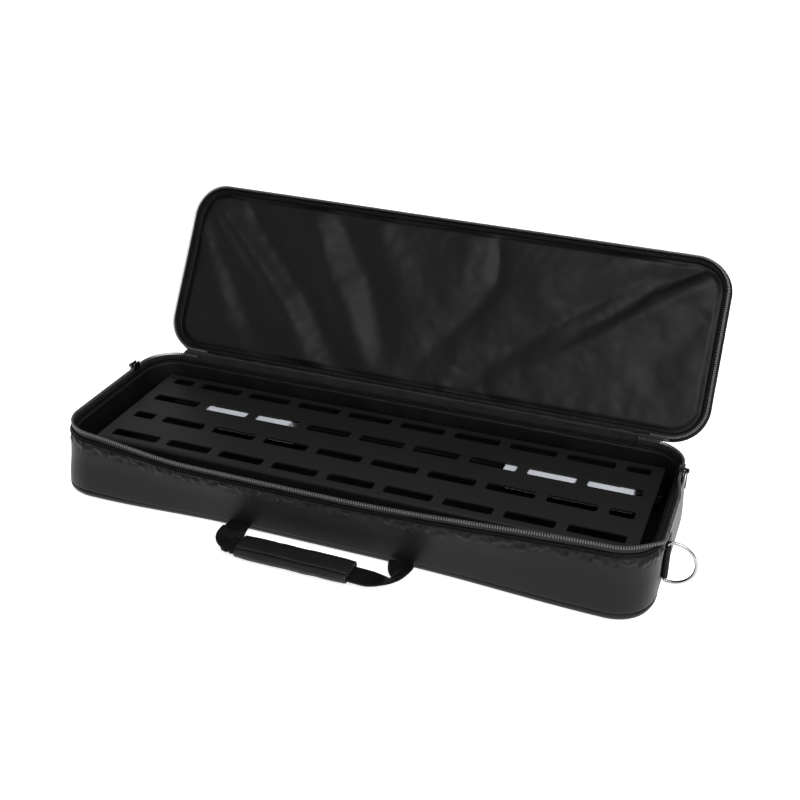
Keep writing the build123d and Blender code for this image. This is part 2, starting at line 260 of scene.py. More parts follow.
def add_modifier(piece, kind, **settings):
    modifier = piece.modifiers.new(kind.title(), kind)
    for key, value in settings.items():
        setattr(modifier, key, value)
    return modifier


def rounded_section(out_a, out_b, z_a, z_b, bevel):
    """A closed rectangular section with cut corners, from inset out_b to outset out_a."""
    return [
        (out_a - bevel, z_a),
        (out_a, z_a + bevel),
        (out_a, z_b - bevel),
        (out_a - bevel, z_b),
        (out_b + bevel, z_b),
        (out_b, z_b - bevel),
        (out_b, z_a + bevel),
        (out_b + bevel, z_a),
        (out_a - bevel, z_a),
    ]


def round_section(radius, height):
    """A closed eight-sided section of piping, its middle on the outline."""
    return [(radius * math.cos(a), height + radius * math.sin(a)) for a in steps(0, 2 * math.pi, 8)]


def steps(low, high, count):
    """Evenly spaced values from low to high, both ends included."""
    return [low + (high - low) * k / count for k in range(count + 1)]


# ---------------------------------------------------------------- node groups
def new_group(name, inputs, outputs):
    """An empty shader group with named float or vector sockets."""
    group = bpy.data.node_groups.new(name, "ShaderNodeTree")
    for label, kind, value in inputs:
        socket = group.interface.new_socket(label, in_out="INPUT", socket_type=kind)
        if value is not None:
            socket.default_value = value
    for label in outputs:
        group.interface.new_socket(label, in_out="OUTPUT", socket_type="NodeSocketFloat")
    return group, group.nodes.new("NodeGroupInput"), group.nodes.new("NodeGroupOutput")


def put(tree, kind, settings=None, **inputs):
    """Add a node, set its properties and sockets, and link any socket given as an input.
    An input is named by its label, or as i0, i1 and so on by its place."""
    node = tree.nodes.new(kind)
    for key, value in (settings or {}).items():
        setattr(node, key, value)
    for key, value in inputs.items():
        numbered = key[0] == "i" and key[1:].isdigit()
        socket = node.inputs[int(key[1:]) if numbered else key.replace("_", " ")]
        if isinstance(value, bpy.types.NodeSocket):
            tree.links.new(value, socket)
        else:
            socket.default_value = value
    return node


def sums(tree, operation, *values):
    """A chain of one math operation over two or more values."""
    result = values[0]
    for value in values[1:]:
        result = put(tree, "ShaderNodeMath", {"operation": operation}, i0=result, i1=value).outputs[0]
    return result


def ribs(tree, coordinate, pitch):
    """A rounded wave from 0 to 1 along one coordinate."""
    turns = sums(tree, "DIVIDE", coordinate, pitch)
    angle = sums(tree, "MULTIPLY", turns, 2 * math.pi)
    wave = put(tree, "ShaderNodeMath", {"operation": "SINE"}, i0=angle).outputs[0]
    return put(tree, "ShaderNodeMath", {"operation": "MULTIPLY_ADD"}, i0=wave, i1=0.5, i2=0.5).outputs[0]


def weave_group():
    """Warp and weft threads: a plain weave by pitch along U and V."""
    group, given, out = new_group(
        "weave",
        [
            ("Vector", "NodeSocketVector", None),
            ("Along", "NodeSocketFloat", 0.001),
            ("Across", "NodeSocketFloat", 0.001),
        ],
        ["Height", "Worn"],
    )
    split = put(group, "ShaderNodeSeparateXYZ", Vector=given.outputs["Vector"])
    u, v = split.outputs["X"], split.outputs["Y"]
    along, across = given.outputs["Along"], given.outputs["Across"]
    row = put(group, "ShaderNodeMath", {"operation": "FLOOR"}, i0=sums(group, "DIVIDE", v, across))
    half_step = sums(group, "MULTIPLY", row.outputs[0], 0.5)
    shifted = sums(group, "ADD", u, sums(group, "MULTIPLY", half_step, along))
    threads = sums(group, "MULTIPLY", ribs(group, shifted, along), ribs(group, v, across))
    fuzz = put(group, "ShaderNodeTexNoise", Vector=given.outputs["Vector"], Scale=2600.0, Detail=2.0)
    fuzzy = sums(group, "ADD", 0.7, sums(group, "MULTIPLY", fuzz.outputs[0], 0.6))
    height = sums(group, "MULTIPLY", threads, fuzzy)
    worn = put(group, "ShaderNodeTexNoise", Vector=given.outputs["Vector"], Scale=45.0, Detail=4.0)
    group.links.new(height, out.inputs["Height"])
    group.links.new(worn.outputs[0], out.inputs["Worn"])
    return group


def grain_group():
    """Fine pebbled grain and slow mottling, as on coated cloth or paint."""
    group, given, out = new_group(
        "grain",
        [
            ("Vector", "NodeSocketVector", None),
            ("Size", "NodeSocketFloat", 0.001),
            ("Patch", "NodeSocketFloat", 0.05),
        ],
        ["Height", "Patches", "Scuffs"],
    )
    scale = sums(group, "DIVIDE", 1.0, given.outputs["Size"])
    cells = put(group, "ShaderNodeTexVoronoi", {"feature": "F1"}, Vector=given.outputs["Vector"], Scale=scale)
    fine = put(group, "ShaderNodeTexNoise", Vector=given.outputs["Vector"], Scale=scale, Detail=3.0)
    pebbles = sums(group, "MULTIPLY", cells.outputs["Distance"], 0.6)
    height = sums(group, "ADD", pebbles, sums(group, "MULTIPLY", fine.outputs[0], 0.5))
    slow = sums(group, "DIVIDE", 1.0, given.outputs["Patch"])
    patches = put(group, "ShaderNodeTexNoise", Vector=given.outputs["Vector"], Scale=slow, Detail=3.0)
    lines = put(
        group,
        "ShaderNodeMapping",
        Vector=given.outputs["Vector"],
        Scale=(60.0, 400.0, 400.0),
        Rotation=(0.3, 0.4, 0.7),
    )
    hair = put(group, "ShaderNodeTexNoise", Vector=lines.outputs[0], Scale=1.0, Detail=5.0, Roughness=0.7)
    scuffs = put(group, "ShaderNodeMapRange", Value=hair.outputs[0], i1=0.62, i2=0.72)
    group.links.new(height, out.inputs["Height"])
    group.links.new(patches.outputs[0], out.inputs["Patches"])
    group.links.new(scuffs.outputs[0], out.inputs["Scuffs"])
    return group


weave = weave_group()
grain = grain_group()


# ---------------------------------------------------------------- materials
def blank_material(name):
    material = bpy.data.materials.new(name)
    material.use_nodes = True
    tree = material.node_tree
    shader = tree.nodes["Principled BSDF"]
    return material, tree, shader


def tone(tree, mask, dark, light):
    """A colour between two greys or tints by a mask."""
    ramp = put(tree, "ShaderNodeMix", {"data_type": "RGBA"})
    ramp.inputs[6].default_value = (*dark, 1)
    ramp.inputs[7].default_value = (*light, 1)
    tree.links.new(mask, ramp.inputs[0])
    return ramp.outputs[2]


def level(tree, mask, low, high):
    """A mask from 0..1 spread between two values."""
    return put(tree, "ShaderNodeMapRange", Value=mask, i3=low, i4=high).outputs[0]


def dress(tree, shader, colour, roughness, height, strength, distance):
    """Plug colour, roughness and a bump into the shader."""
    tree.links.new(colour, shader.inputs["Base Color"])
    tree.links.new(roughness, shader.inputs["Roughness"])
    bump = put(tree, "ShaderNodeBump", Height=height, Strength=strength, Distance=distance)
    tree.links.new(bump.outputs[0], shader.inputs["Normal"])


def grained(name, dark, light, rough_low, rough_high, size, patch, strength, distance, **sockets):
    """A pebbled or powder-coated finish on object coordinates."""
    material, tree, shader = blank_material(name)
    place = put(tree, "ShaderNodeTexCoord").outputs["Object"]
    made = put(tree, "ShaderNodeGroup", {"node_tree": grain}, Vector=place, Size=size, Patch=patch)
    colour = tone(tree, made.outputs["Patches"], dark, light)
    roughness = level(tree, made.outputs["Patches"], rough_low, rough_high)
    dress(tree, shader, colour, roughness, made.outputs["Height"], strength, distance)
    for key, value in sockets.items():
        shader.inputs[key.replace("_", " ")].default_value = value
    return material


def woven(name, dark, light, rough_low, rough_high, along, across, strength, distance, **sockets):
    """A woven tape or webbing on the piece's own UV, in metres."""
    material, tree, shader = blank_material(name)
    place = put(tree, "ShaderNodeTexCoord").outputs["UV"]
    made = put(tree, "ShaderNodeGroup", {"node_tree": weave}, Vector=place, Along=along, Across=across)
    # Colour follows thread height times the worn mask: painted shade, darker in the gaps between threads and
    # lighter on their tops, plus random wear mottling from the worn mask.
    thread_shade_and_wear = sums(tree, "MULTIPLY", made.outputs["Height"], made.outputs["Worn"])
    colour = tone(tree, thread_shade_and_wear, dark, light)
    roughness = level(tree, made.outputs["Worn"], rough_low, rough_high)
    dress(tree, shader, colour, roughness, made.outputs["Height"], strength, distance)
    for key, value in sockets.items():
        shader.inputs[key.replace("_", " ")].default_value = value
    return material


def grey(value, warmth=0.0):
    return (value * (1 + warmth), value, value * (1 - warmth))


coated_cloth = grained(
    "coated_cloth", grey(0.0040), grey(0.0068), 0.36, 0.46, 0.0011, 0.06, 0.30, 0.00010,
    Specular_IOR_Level=0.15,
)
satin_lining = grained(
    "satin_lining", grey(0.0022), grey(0.0038), 0.44, 0.52, 0.0006, 0.03, 0.18, 0.00004,
    Specular_IOR_Level=0.19,
)
foam_core = grained("foam_core", grey(0.012), grey(0.02), 0.85, 0.95, 0.0016, 0.02, 0.6, 0.0003)
stiffener_board = grained("stiffener_board", grey(0.02), grey(0.03), 0.6, 0.7, 0.002, 0.04, 0.2, 0.0001)
binding_tape = woven(
    "binding_tape", grey(0.0008), grey(0.005), 0.40, 0.6, 0.0011, 0.0016, 0.5, 0.0002,
    Specular_IOR_Level=0.12,
)
zipper_cloth = woven(
    "zipper_cloth", grey(0.0060), grey(0.046), 0.45, 0.65, 0.0009, 0.0026, 0.8, 0.0003,
    Specular_IOR_Level=0.20, Sheen_Weight=0.02,
)
strap_webbing = woven(
    "strap_webbing", grey(0.0008), grey(0.008), 0.45, 0.62, 0.0017, 0.0023, 0.9, 0.0006,
    Specular_IOR_Level=0.18,
)
thread = grained("thread", grey(0.012), grey(0.022), 0.4, 0.5, 0.0004, 0.01, 0.4, 0.0001)
teeth_resin = grained("teeth_resin", grey(0.045), grey(0.075), 0.20, 0.30, 0.0012, 0.02, 0.1, 0.00004)
grip_cloth = grained(
    "grip_cloth", grey(0.0055), grey(0.0100), 0.34, 0.46, 0.0009, 0.03, 0.5, 0.00018,
    Specular_IOR_Level=0.26,
)
powder_coat = grained(
    "powder_coat", grey(0.0050, 0.02), grey(0.0075, 0.02), 0.34, 0.42, 0.00045, 0.08, 0.30, 0.00005,
    Specular_IOR_Level=0.22,
)
foot_rubber = grained("foot_rubber", grey(0.012), grey(0.02), 0.6, 0.75, 0.0008, 0.02, 0.4, 0.0001)


def metal(name, low, high, rough_low, rough_high, size, bare=1.0):
    """Bare or plated metal with slow mottling and hairline scuffs."""
    material, tree, shader = blank_material(name)
    place = put(tree, "ShaderNodeTexCoord").outputs["Object"]
    made = put(tree, "ShaderNodeGroup", {"node_tree": grain}, Vector=place, Size=size, Patch=0.02)
    colour = tone(tree, made.outputs["Patches"], low, high)
    wear = sums(tree, "ADD", made.outputs["Patches"], sums(tree, "MULTIPLY", made.outputs["Scuffs"], 0.4))
    roughness = level(tree, wear, rough_low, rough_high)
    dress(tree, shader, colour, roughness, made.outputs["Height"], 0.08, 0.00005)
    shader.inputs["Metallic"].default_value = bare
    return material


anchor_webbing = grained(
    "anchor_webbing", grey(0.006), grey(0.016), 0.50, 0.62, 0.0012, 0.02, 0.5, 0.0002,
    Specular_IOR_Level=0.25,
)
chrome_plate = metal("chrome_plate", grey(0.30), grey(0.42), 0.14, 0.24, 0.002)
dark_nickel = metal("dark_nickel", grey(0.05), grey(0.10), 0.22, 0.36, 0.001)
bright_zinc = metal("bright_zinc", (0.62, 0.65, 0.70), (0.74, 0.77, 0.82), 0.34, 0.46, 0.004, bare=0.45)
zinc_screw = metal("zinc_screw", grey(0.55), grey(0.68), 0.25, 0.4, 0.001)


# ---------------------------------------------------------------- softness of the case
def sag(point):
    """The open front rim hangs down between the two corners, most to the left."""
    front = smooth_step(0.3, 1.0, -point.y / half_y)
    span = smooth_step(-0.318, -0.165, point.x) * (1 - smooth_step(0.0, 0.325, point.x))
    side = 0.0015 * (1 - (point.x / half_x) ** 2)
    height = max(0.0, point.z) / rim
    drop = (0.0118 * span + side) * front * height
    return Vector((0, -0.25 * drop, -drop))


def flop(point):
    """At the right end the loose zipper tape has tipped outwards over the wall."""
    loose = smooth_step(-0.098, -0.070, point.y) * (1 - smooth_step(0.005, 0.040, point.y))
    loose *= smooth_step(0.29, 0.315, point.x)
    tip = math.radians(44) * loose
    height = max(0.0, point.z - binding_top)
    return Vector((height * math.sin(tip), 0, -height * (1 - math.cos(tip)) - 0.002 * loose))


def case_zip(point):
    return sag(point) + flop(point)


def swell(point, direction, depth=0.0012):
    """Walls of foam and cloth are never quite flat."""
    height = math.sin(math.pi * max(0.0, min(1.0, point.z / seam)))
    slow = rough(point, 0.11, 3.0) * 0.6 + rough(point, 0.045, 9.0) * 0.25
    return direction * depth * height * (0.4 + slow)


def flare(point):
    """The soft walls splay outwards towards the floor, less beside the strap rings."""
    low = 1 - smooth_step(0.0, 1.0, point.z / seam)
    x, y = point.x / half_x, point.y / half_y
    front = smooth_step(0.55, 0.95, -y)
    back = smooth_step(0.55, 0.95, y)
    left = smooth_step(0.85, 0.98, -x)
    right = smooth_step(0.85, 0.98, x)
    by_ring = math.exp(-(((point.y + 0.048) / 0.030) ** 2)) * (1 - front)
    side_x = (0.0020 * right - 0.0045 * left) * (1 - 0.85 * by_ring)
    by_handle = smooth_step(-0.280, -0.115, point.x) * (1 - smooth_step(0.085, 0.290, point.x))
    side_y = 0.003 * back - 0.0090 * front * (1 - 0.92 * by_handle)
    return Vector((side_x, side_y, 0)) * low


# Gathers of three sizes: share of the depth, length along the seam, height, noise layer.
gathers = [(0.6, 0.009, 0.012, 0), (0.9, 0.0042, 0.007, 5), (0.3, 0.0028, 0.006, 9)]


def pucker(point, direction, height, reach, depth, seed=0.0):
    """Small gathers on either side of a sewn line."""
    near = math.exp(-(((point.z - height) / reach) ** 2))
    along = walked(point)
    fold = sum(
        share * noise.noise(Vector((along / long + seed, point.z / tall, layer)))
        for share, long, tall, layer in gathers
    )
    return direction * depth * near * fold


# ---------------------------------------------------------------- case base
def case_walls():
    """Outer skin: wall, rounded floor pan, piping at the seam."""
    bm = bmesh.new()
    ring = outline_ring(bm, 0.0026)
    heights = steps(pan_top, seam - 0.016, 9) + steps(seam - 0.014, seam - 0.002, 8)
    outer = [(0, z) for z in heights] + [(-0.0008, seam)]
    inner = [(-wall_cloth, z) for z in [seam] + steps(pan_top, seam - 0.002, 3)[::-1]]
    sweep_ring(bm, ring, outer + inner + outer[:1])
    bmesh.ops.remove_doubles(bm, verts=bm.verts[:], dist=1e-6)

    def move(point, direction):
        outside = (point.xy - outline_point(walked(point))[0].xy).length < 0.0012
        step = sag(point) + flare(point)
        if outside:
            front_middle = smooth_step(0.9, 1.0, -point.y / half_y) * math.exp(-((point.x / 0.16) ** 2))
            step = step + swell(point, direction, 0.0012 * (1 - 0.9 * front_middle))
            front = 0.08 + 0.92 * smooth_step(0.2, 0.9, -point.y / half_y)
            under = seam - point.z
            shoulder = smooth_step(0.0, 0.0075, under) * (1 - smooth_step(0.009, 0.030, under))
            loose = 0.6 + 0.6 * rough(point, 0.05, 14.0)
            step = step + direction * (0.0021 * shoulder * front * loose)
            step = step + pucker(point, direction, seam - 0.0055, 0.0050, 0.0042) * front
        return step

    shaped(bm, move)
    wall = make(bm, "case_wall", coated_cloth, "case_base", "coated_fabric", ["base_wall_skin"])

    bm = bmesh.new()
    ring = outline_ring(bm)
    bend = [
        (edge_round * (math.sin(a) - 1), edge_round * (1 - math.cos(a)))
        for a in steps(0, math.pi / 2, 5)
    ]
    flat_in = -0.034  # where the swept edge ends and the flat middle begins
    profile = [(flat_in, 0), (-0.02, 0)] + bend + [(0, pan_top), (-wall_cloth, pan_top)]
    inner = [(-wall_cloth, edge_round), (-edge_round, wall_cloth), (flat_in, wall_cloth)]
    bands = sweep_ring(bm, ring, profile + inner)
    rims = [e for e in bm.edges if e.is_boundary]
    bmesh.ops.triangle_fill(bm, edges=[e for e in rims if e in set(bands)], use_beauty=True)
    bmesh.ops.triangle_fill(bm, edges=[e for e in rims if e.is_boundary], use_beauty=True)
    shaped(bm, lambda p, d: flare(p))
    make(
        bm, "case_floor_pan", coated_cloth, "case_base", "coated_fabric", ["base_bottom_skin"], smooth=0
    )

    bm = bmesh.new()
    ring = outline_ring(bm, trim_cell)
    sweep_ring(bm, ring, round_section(piping_radius, seam - piping_drop))
    shaped(bm, lambda p, d: sag(p) + pucker(p, d, seam, 0.02, 0.0006, 2.0))
    uv_along(bm)
    make(bm, "case_seam_piping", binding_tape, "case_base", "binding_fabric", ["base_seam_piping"])


def case_rim():
    """Binding over the wall's top edge, the foam in the wall, and its loose lining."""
    bm = bmesh.new()
    ring = outline_ring(bm, trim_cell)
    section = rounded_section(-0.0001, -inside_in + 0.0001, seam, binding_top, 0.0007)
    sweep_ring(bm, ring, section)
    shaped(bm, lambda p, d: sag(p) + Vector((0, 0, 0.0007 * rough(p, 0.008, 4.0))))
    uv_along(bm)
    make(bm, "case_rim_binding", binding_tape, "case_base", "binding_fabric", ["base_rim_binding"])

    bm = bmesh.new()
    ring = outline_ring(bm)
    sweep_ring(bm, ring, rounded_section(-foam_in, -foam_in - foam, pan_top, seam, 0.0015))
    shaped(bm, lambda p, d: sag(p))
    padding = make(bm, "case_wall_foam", foam_core, "case_base", "foam", ["base_wall_foam"], smooth=0)

    bm = bmesh.new()
    ring = outline_ring(bm, 0.004)
    heights = steps(floor_top, seam, 14)
    section = [(-lining_in, z) for z in (floor_top, seam)]
    section += [(-inside_in, z) for z in reversed(heights)]
    sweep_ring(bm, ring, section + section[:1])

    def drape(point, direction):
        height = (point.z - floor_top) / (seam - floor_top)
        slow = 0.5 + rough(point, 0.06, 7.0) + 0.5 * rough((point.x, point.y, point.z * 0.4), 0.022, 1.0)
        depth = 0.0032 * math.sin(math.pi * max(0.0, min(1.0, height))) * max(0.0, slow)
        inside = (outline_point(walked(point))[0] - point).xy.length > lining_in + 0.0003
        return sag(point) - direction * depth * inside

    shaped(bm, drape)
    lining = make(bm, "case_wall_lining", satin_lining, "case_base", "nylon_lining", ["base_wall_lining"])


def zipper_half(name, body, profile_low, matrix, side, slot_nodes, droop):
    """Zipper tape standing on the binding, and its chain of teeth."""
    tape_node, teeth_node = slot_nodes
    top = (rim if side > 0 else 0.0) - teeth_drop
    bm = bmesh.new()
    ring = outline_ring(bm, trim_cell)
    half = 0.00045
    section = [(-zip_in + half, z) for z in steps(profile_low, top + 0.0004, 3)]
    section += [(-zip_in - half, z) for z in reversed(steps(profile_low, top + 0.0004, 3))]
    sweep_ring(bm, ring, section + section[:1])
    bmesh.ops.remove_doubles(bm, verts=bm.verts[:], dist=1e-6)
    open_hinge_side(bm, hinge_half, side)

    def wave(point, direction):
        height = (point.z - profile_low) / (top - profile_low)
        return droop(point) + direction * 0.0005 * rough(point, 0.02, 8.0) * (1 - height)

    shaped(bm, wave)
    uv_along(bm)
    make(bm, f"{name}_zipper_tape", zipper_cloth, body, "webbing", [tape_node], matrix)

    bm = bmesh.new()
    pitch, tooth = 0.0026, (2 * tooth_reach, 0.0013, 0.0025)
    total = outline_length()
    count = int(total / pitch)
    raised = Vector((0, 0, top + 0.0015))
    for k in range(count):
        distance = k * total / count
        point, direction = outline_point(distance)
        if abs(point.x) < hinge_half and point.y * side > 0:
            continue
        inward = point - direction * zip_in
        turn = direction.to_track_quat("X", "Z").to_matrix().to_4x4()
        spot = Matrix.Translation(inward + raised + droop(Vector((inward.x, inward.y, rim))))
        size = Matrix.Diagonal((*tooth, 1))
        bmesh.ops.create_cube(bm, size=1.0, matrix=spot @ turn @ size)
    teeth = make(bm, f"{name}_zipper_teeth", teeth_resin, body, "zipper_teeth", [teeth_node], matrix, 0)
    for face in teeth.data.polygons:
        face.use_smooth = False


def floor_layers():
    """Stiffener, floor foam and floor lining, seen through the slots."""
    low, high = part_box("base_floor_lining")
    bm = bmesh.new()
    count = 90
    bmesh.ops.create_grid(bm, x_segments=count, y_segments=count // 3, size=0.5)
    bmesh.ops.scale(bm, vec=(high.x - low.x, high.y - low.y, 1), verts=bm.verts[:])
    inner = corner - inside_in
    for v in bm.verts:
        cx = max(inner - high.x, min(high.x - inner, v.co.x))
        cy = max(inner - high.y, min(high.y - inner, v.co.y))
        away = Vector((v.co.x - cx, v.co.y - cy, 0))
        if away.length > inner:
            away.length = inner
            v.co = Vector((cx, cy, 0)) + away
        v.co.z = low.z + 0.0004 + 0.0006 * rough(v.co, 0.03, 2.0)
    nodes = ["base_floor_lining"]
    lining = make(bm, "case_floor_lining", satin_lining, "case_base", "nylon_lining", nodes, smooth=0)
    add_modifier(lining, "SOLIDIFY", thickness=0.0006, offset=0)

    for node, name, material, slot_name, bevel in (
        ("base_stiffener", "case_stiffener", stiffener_board, "stiffener_board", 0.0005),
        ("base_floor_foam", "case_floor_foam", foam_core, "foam", 0.0012),
    ):
        low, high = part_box(node)
        bm = bmesh.new()
        ring = outline_ring(bm, 0.02)
        inset = half_x - high.x
        profile = [
            (-inset - 0.02, low.z),
            (-inset - bevel, low.z),
            (-inset, low.z + bevel),
            (-inset, high.z - bevel),
            (-inset - bevel, high.z),
            (-inset - 0.02, high.z),
        ]
        last = sweep_ring(bm, ring, profile)
        rims = [e for e in bm.edges if e.is_boundary]
        bmesh.ops.triangle_fill(bm, edges=last, use_beauty=True)
        bmesh.ops.triangle_fill(bm, edges=[e for e in rims if e.is_boundary], use_beauty=True)
        piece = make(bm, name, material, "case_base", slot_name, [node], smooth=0)


# ---------------------------------------------------------------- lid
# The lid is shaped lying as a tray: Z is 0 at its rim and falls to its outer panel.
def lid_matrix():
    along = Vector((0, math.sin(lid_lean), math.cos(lid_lean)))
    inward = Vector((0, -math.cos(lid_lean), math.sin(lid_lean)))
    turn = Matrix((Vector((1, 0, 0)), along, inward)).transposed().to_4x4()
    return Matrix.Translation(hinge + along * hinge.y) @ turn


lid_place = lid_matrix()
panel_back = -lid_height
panel_front = panel_back + wall_cloth
lid_seam = -zipper_rise
lining_depth = panel_front + foam + 2 * foam_gap


def lid_soft(point):
    """The lid's cloth walls bow and twist a little."""
    share = (point.y + half_y) / (2 * half_y)
    bow = 0.0016 * rough(point, 0.16, 12.0) * smooth_step(0.02, 0.30, share)
    end = point.x / half_x
    aside = 0.0108 - 0.0048 * share + (0.0007 + 0.0028 * share) * end
    turn = -(0.0012 + 0.0045 * share) * end
    return Vector((aside, turn, bow))


def lid_shell():
    """Outer panel, wall and seam piping of the lid."""
    bm = bmesh.new()
    ring = outline_ring(bm, 0.005)
    round_edge = 0.005
    bend = [
        (round_edge * (math.sin(a) - 1), panel_back + round_edge * (1 - math.cos(a)))
        for a in steps(0, math.pi / 2, 4)
    ]
    outer = [(-0.04, panel_back), (-0.02, panel_back)] + bend
    outer += [(0, z) for z in steps(panel_back + round_edge, lid_seam - 0.001, 4)[1:]]
    inner = [(-0.0006, lid_seam), (-wall_cloth, lid_seam), (-wall_cloth, panel_back + round_edge)]
    inner += [(-round_edge, panel_front), (-0.04, panel_front)]
    last = sweep_ring(bm, ring, outer + inner)
    rims = [e for e in bm.edges if e.is_boundary]
    bmesh.ops.triangle_fill(bm, edges=last, use_beauty=True)
    bmesh.ops.triangle_fill(bm, edges=[e for e in rims if e.is_boundary], use_beauty=True)
    bmesh.ops.remove_doubles(bm, verts=bm.verts[:], dist=1e-6)

    def move(point, direction):
        if point.z > lid_seam - 0.001:
            return lid_soft(point)
        side = smooth_step(-0.012, 0.0, point.z - lid_seam)
        return lid_soft(point) + pucker(point, direction, lid_seam, 0.004, 0.0007, 31.0) * side

    shaped(bm, move)
    nodes = ["lid_panel_skin", "lid_wall_skin"]
    shell = make(bm, "lid_shell", coated_cloth, "lid", "coated_fabric", nodes, lid_place, smooth=0)

    bm = bmesh.new()
    ring = outline_ring(bm, trim_cell)
    sweep_ring(bm, ring, round_section(lid_piping_radius, lid_seam - piping_drop))
    shaped(bm, lambda p, d: lid_soft(p) + pucker(p, d, lid_seam, 0.02, 0.0003, 12.0))
    uv_along(bm)
    make(bm, "lid_edge_piping", binding_tape, "lid", "binding_fabric", ["lid_seam_piping"], lid_place)


def lid_rim():
    """Binding round the lid's inside edge, and the foam behind the lining."""
    bm = bmesh.new()
    ring = outline_ring(bm, trim_cell)
    section = rounded_section(-0.0001, -inside_in + 0.0001, lid_seam, lid_seam + binding_rise, 0.0008)
    sweep_ring(bm, ring, section)
    shaped(bm, lambda p, d: lid_soft(p) + Vector((0, 0, 0.0006 * rough(p, 0.01, 41.0))))
    uv_along(bm)
    make(bm, "lid_edge_binding", binding_tape, "lid", "binding_fabric", ["lid_rim_binding"], lid_place)

    bm = bmesh.new()
    ring = outline_ring(bm, 0.008)
    foam_back, foam_top, round_edge, middle = panel_front + foam_gap, lid_seam - 0.0005, 0.004, -0.04
    profile = [
        (middle, foam_back),
        (-foam_in - round_edge, foam_back),
        (-foam_in, foam_back + round_edge),
        (-foam_in, foam_top),
        (-foam_in - foam, foam_top),
        (-foam_in - foam, foam_back + foam),
        (middle, foam_back + foam),
    ]
    last = sweep_ring(bm, ring, profile)
    rims = [e for e in bm.edges if e.is_boundary]
    bmesh.ops.triangle_fill(bm, edges=last, use_beauty=True)
    bmesh.ops.triangle_fill(bm, edges=[e for e in rims if e.is_boundary], use_beauty=True)
    shaped(bm, lambda p, d: lid_soft(p))
    nodes = ["lid_panel_foam", "lid_wall_foam"]
    padding = make(bm, "lid_foam", foam_core, "lid", "foam", nodes, lid_place, smooth=0)


# Ridges (up) and valleys (down) of the loose lid lining: the line each follows in shares
# of the lid, from the zipper side to the hinge, then its half width and height in metres.
lining_folds = [
    ([(-0.97, 0.95), (-0.80, 0.42), (-0.64, 0.0), (-0.50, -0.45), (-0.42, -0.90)], 0.010, 0.0075),
    ([(-0.81, 0.92), (-0.67, 0.40), (-0.46, -0.31), (-0.29, -0.95)], 0.012, -0.0060),
    ([(-0.53, 0.95), (-0.42, 0.22), (-0.30, -0.28), (-0.16, -0.95)], 0.013, 0.0070),
    ([(-0.42, 0.85), (-0.29, 0.32), (-0.20, -0.11), (-0.14, -0.90)], 0.012, -0.0050),
    ([(-0.27, 0.85), (-0.16, 0.33), (-0.08, -0.10)], 0.014, 0.0040),
    ([(0.18, 0.95), (0.23, 0.47), (0.18, 0.14), (0.06, -0.30), (-0.03, -0.75)], 0.009, -0.0045),
    ([(0.08, 0.85), (0.12, 0.40), (0.02, 0.0)], 0.016, 0.0030),
    ([(0.95, 0.93), (0.76, 0.63), (0.68, 0.33), (0.54, 0.0), (0.42, -0.35)], 0.006, -0.0050),
    ([(0.97, 0.82), (0.71, 0.24), (0.50, -0.22), (0.29, -0.70)], 0.010, 0.0045),
    ([(0.84, 0.90), (0.61, 0.45), (0.46, 0.05), (0.28, -0.41), (0.12, -0.80)], 0.009, -0.0045),
    ([(0.72, 0.93), (0.48, 0.60), (0.26, 0.20)], 0.015, 0.0035),
    ([(0.95, 0.45), (0.82, -0.14), (0.76, -0.60)], 0.012, -0.0025),
    ([(-0.99, 0.60), (-0.87, 0.06), (-0.79, -0.45)], 0.009, 0.0045),
    ([(-0.92, 0.30), (-0.76, -0.20), (-0.64, -0.80)], 0.010, -0.0035),
    ([(0.08, -0.95), (0.12, -0.60)], 0.007, 0.0025),
    ([(0.26, -0.95), (0.22, -0.62)], 0.006, -0.0020),
]


def off_line(place, line):
    """Distance to a bent line, and the share of its length reached."""
    best, reached = 1.0, 0.0
    for k, (start, end) in enumerate(zip(line, line[1:])):
        way = end - start
        share = max(0.0, min(1.0, (place - start).dot(way) / way.length_squared))
        gap = (place - start - way * share).length
        if gap < best:
            best, reached = gap, (k + share) / (len(line) - 1)
    return best, reached


def fold_height(x, y, fold_lines):
    """Height of the lining above its rest at a place in the lid."""
    place = Vector((x, y))
    total = 0.0
    for line, width, height in fold_lines:
        gap, reached = off_line(place, line)
        gap += 0.003 * rough((x, y, 0), 0.03, line[0].x * 21)
        wide = width * (0.95 + 1.10 * reached)
        fade = smooth_step(0.0, 0.10, reached) * (1 - 0.7 * smooth_step(0.75, 1.0, reached))
        total += 1.05 * height * (0.25 + 0.75 * fade) * math.exp(-((gap / wide) ** 2))
    total += 0.0012 * rough((x * 0.8 + y * 0.6, (y - x) * 0.35, 0), 0.035, 5.0)
    total += 0.0006 * rough((x * 0.9 - y * 0.5, (y + x) * 0.5, 0), 0.018, 25.0)
    total += 0.00035 * rough((x, y, 0), 0.009, 15.0)
    return total


